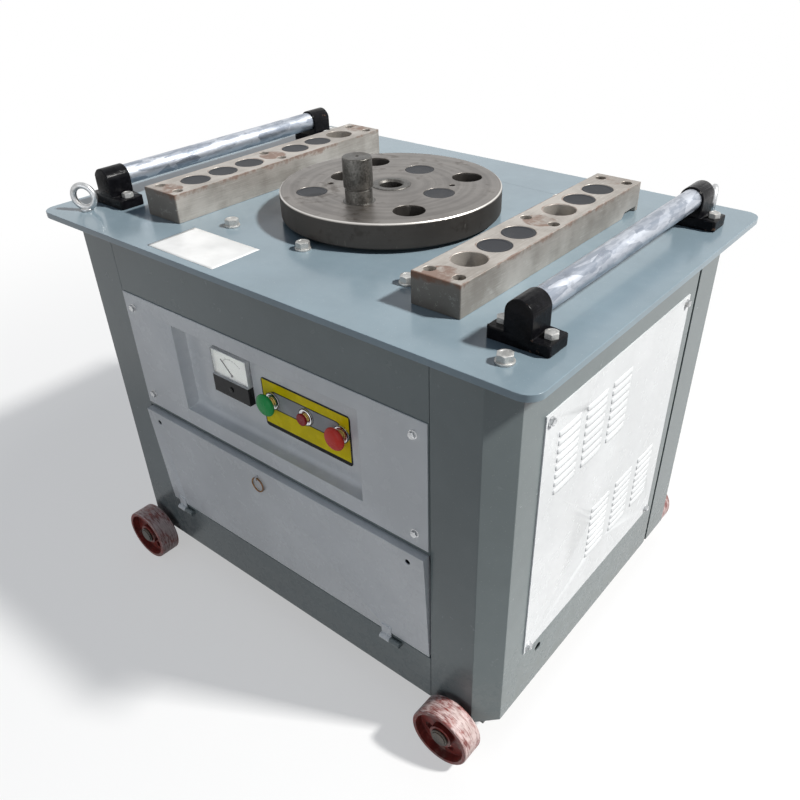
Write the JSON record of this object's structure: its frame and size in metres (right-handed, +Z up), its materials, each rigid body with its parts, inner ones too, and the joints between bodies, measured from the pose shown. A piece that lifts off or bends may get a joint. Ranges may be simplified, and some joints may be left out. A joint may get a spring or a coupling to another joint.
{
  "type": "rebar bender",
  "caption": "Electric rebar bender: a wheeled sheet cabinet under a table with a turning bending disc, socketed stop bars, support rollers and a front control niche.",
  "frame": {"origin": "on the floor under the middle of the machine, which is the axis of the bending disc", "axes": "+X to the right along the front, +Y from the front towards the rear, +Z up"},
  "size_m": [0.952, 0.7348, 0.81],
  "materials": {
    "table_paint": "glossy blue-grey paint",
    "cabinet_paint": "glossy dark grey-green paint",
    "white_paint": "glossy white paint",
    "motor_paint": "blue-grey motor paint",
    "bar_steel": "milled steel with stained edges",
    "disc_steel": "turned steel, stained, with bright edges",
    "pin_steel": "turned and hardened steel",
    "shaft_steel": "ground steel",
    "black_steel": "blackened steel",
    "rusty_steel": "rusted wire",
    "zinc": "bright zinc plating",
    "galvanised": "spangled galvanised tube",
    "dark_plug": "dark grey plastic",
    "black_casting": "rough casting in gloss black paint",
    "grey_casting": "cast iron in grey primer",
    "red_casting": "cast iron in dark red paint, worn on the tread",
    "bronze": "cast bronze",
    "black_rubber": "black rubber belt",
    "yellow_plate": "yellow plate with a black border",
    "black_plastic": "black moulded plastic",
    "green_plastic": "green moulded plastic",
    "red_plastic": "red moulded plastic",
    "clear_window": "clear meter window"
  },
  "bodies": {
    "frame": {"table_plate": "table_paint", "left_hole_bar": "bar_steel", "right_hole_bar": "bar_steel", "bar_plugs": "dark_plug", "bar_screws": "black_steel", "eye_bolts": "zinc", "table_bolts": "zinc", "left_brackets": "black_casting", "right_brackets": "black_casting", "gearbox_housing": "grey_casting", "gearbox_cover": "grey_casting", "gearbox_bearings": "shaft_steel", "v_belts": "black_rubber", "motor_body": "motor_paint", "motor_fan_cover": "motor_paint", "motor_terminal_box": "motor_paint", "motor_base": "cabinet_paint", "right_side_wall": "cabinet_paint", "left_side_wall": "cabinet_paint", "rear_frame": "cabinet_paint", "rear_panel": "white_paint", "front_top_rail": "cabinet_paint", "front_bottom_rail": "cabinet_paint", "floor_plate": "cabinet_paint", "right_vent_panel": "white_paint", "left_vent_panel": "white_paint", "panel_bolts": "zinc", "control_panel": "white_paint", "button_plate": "yellow_plate", "button_bodies": "black_plastic", "voltmeter_case": "black_plastic", "voltmeter_window": "clear_window", "door_hinges": "cabinet_paint", "wheel_axles": "shaft_steel", "axle_brackets": "cabinet_paint", "electrical_plate": "zinc", "contactors": "black_plastic"},
    "disc": {"bending_disc": "disc_steel", "disc_plugs": "dark_plug", "centre_sleeve": "disc_steel", "main_shaft": "shaft_steel", "worm_wheel": "bronze"},
    "bending_pin": {"bending_pin": "pin_steel"},
    "worm": {"worm_shaft": "shaft_steel", "large_pulley": "grey_casting"},
    "rotor": {"motor_rotor": "shaft_steel", "motor_pulley": "grey_casting"},
    "left_roller": {"left_roller": "galvanised"},
    "right_roller": {"right_roller": "galvanised"},
    "front_left_wheel": {"front_left_wheel": "red_casting"},
    "front_right_wheel": {"front_right_wheel": "red_casting"},
    "rear_left_wheel": {"rear_left_wheel": "red_casting"},
    "rear_right_wheel": {"rear_right_wheel": "red_casting"},
    "green_button": {"green_button": "green_plastic"},
    "small_red_button": {"small_red_button": "red_plastic"},
    "red_stop_button": {"red_stop_button": "red_plastic"},
    "door": {"front_door": "white_paint"},
    "pull_ring": {"pull_ring": "rusty_steel"},
    "needle": {"voltmeter_needle": "black_steel"}
  },
  "joints": [
    {"name": "disc_spin", "type": "hinge", "parent": "frame", "child": "disc", "pos_m": [0, 0, 0.725], "axis": [0, 0, 1], "continuous": true},
    {"name": "pin_lift", "type": "slide", "parent": "disc", "child": "bending_pin", "axis": [0, 0, 1], "range_m": [0, 0.12]},
    {"name": "worm_spin", "type": "hinge", "parent": "frame", "child": "worm", "pos_m": [0, 0.15, 0.56], "axis": [1, 0, 0], "continuous": true},
    {"name": "motor_spin", "type": "hinge", "parent": "frame", "child": "rotor", "pos_m": [0, 0.15, 0.19], "axis": [1, 0, 0], "continuous": true},
    {"name": "left_roller_spin", "type": "hinge", "parent": "frame", "child": "left_roller", "pos_m": [-0.402, 0, 0.741], "axis": [0, 1, 0], "continuous": true},
    {"name": "right_roller_spin", "type": "hinge", "parent": "frame", "child": "right_roller", "pos_m": [0.402, 0, 0.741], "axis": [0, 1, 0], "continuous": true},
    {"name": "front_left_wheel_spin", "type": "hinge", "parent": "frame", "child": "front_left_wheel", "pos_m": [-0.375, -0.346, 0.052], "axis": [0, 1, 0], "continuous": true},
    {"name": "front_right_wheel_spin", "type": "hinge", "parent": "frame", "child": "front_right_wheel", "pos_m": [0.375, -0.346, 0.052], "axis": [0, 1, 0], "continuous": true},
    {"name": "rear_left_wheel_spin", "type": "hinge", "parent": "frame", "child": "rear_left_wheel", "pos_m": [-0.375, 0.346, 0.052], "axis": [0, 1, 0], "continuous": true},
    {"name": "rear_right_wheel_spin", "type": "hinge", "parent": "frame", "child": "rear_right_wheel", "pos_m": [0.375, 0.346, 0.052], "axis": [0, 1, 0], "continuous": true},
    {"name": "green_button_press", "type": "slide", "parent": "frame", "child": "green_button", "axis": [0, 1, 0], "range_m": [0, 0.005], "stiffness_N_per_m": 600, "springref_m": -0.002},
    {"name": "small_red_button_press", "type": "slide", "parent": "frame", "child": "small_red_button", "axis": [0, 1, 0], "range_m": [0, 0.003], "stiffness_N_per_m": 500, "springref_m": -0.002},
    {"name": "red_stop_button_press", "type": "slide", "parent": "frame", "child": "red_stop_button", "axis": [0, 1, 0], "range_m": [0, 0.005], "stiffness_N_per_m": 600, "springref_m": -0.002},
    {"name": "door_tilt", "type": "hinge", "parent": "frame", "child": "door", "pos_m": [0, -0.3195, 0.141], "axis": [1, 0, 0], "range_deg": [-3, 87]},
    {"name": "ring_swing", "type": "hinge", "parent": "door", "child": "pull_ring", "pos_m": [-0.027, -0.32713, 0.34538], "axis": [1, 0, 0], "range_deg": [-90, 1]},
    {"name": "needle_swing", "type": "hinge", "parent": "frame", "child": "needle", "pos_m": [-0.086, -0.2955, 0.5035], "axis": [0, 1, 0], "range_deg": [0, 90], "stiffness_Nm_per_rad": 0.0002}
  ],
  "couplings": [
    {"joint": "worm_spin", "follows": "disc_spin", "ratio": 40},
    {"joint": "motor_spin", "follows": "disc_spin", "ratio": 112}
  ]
}
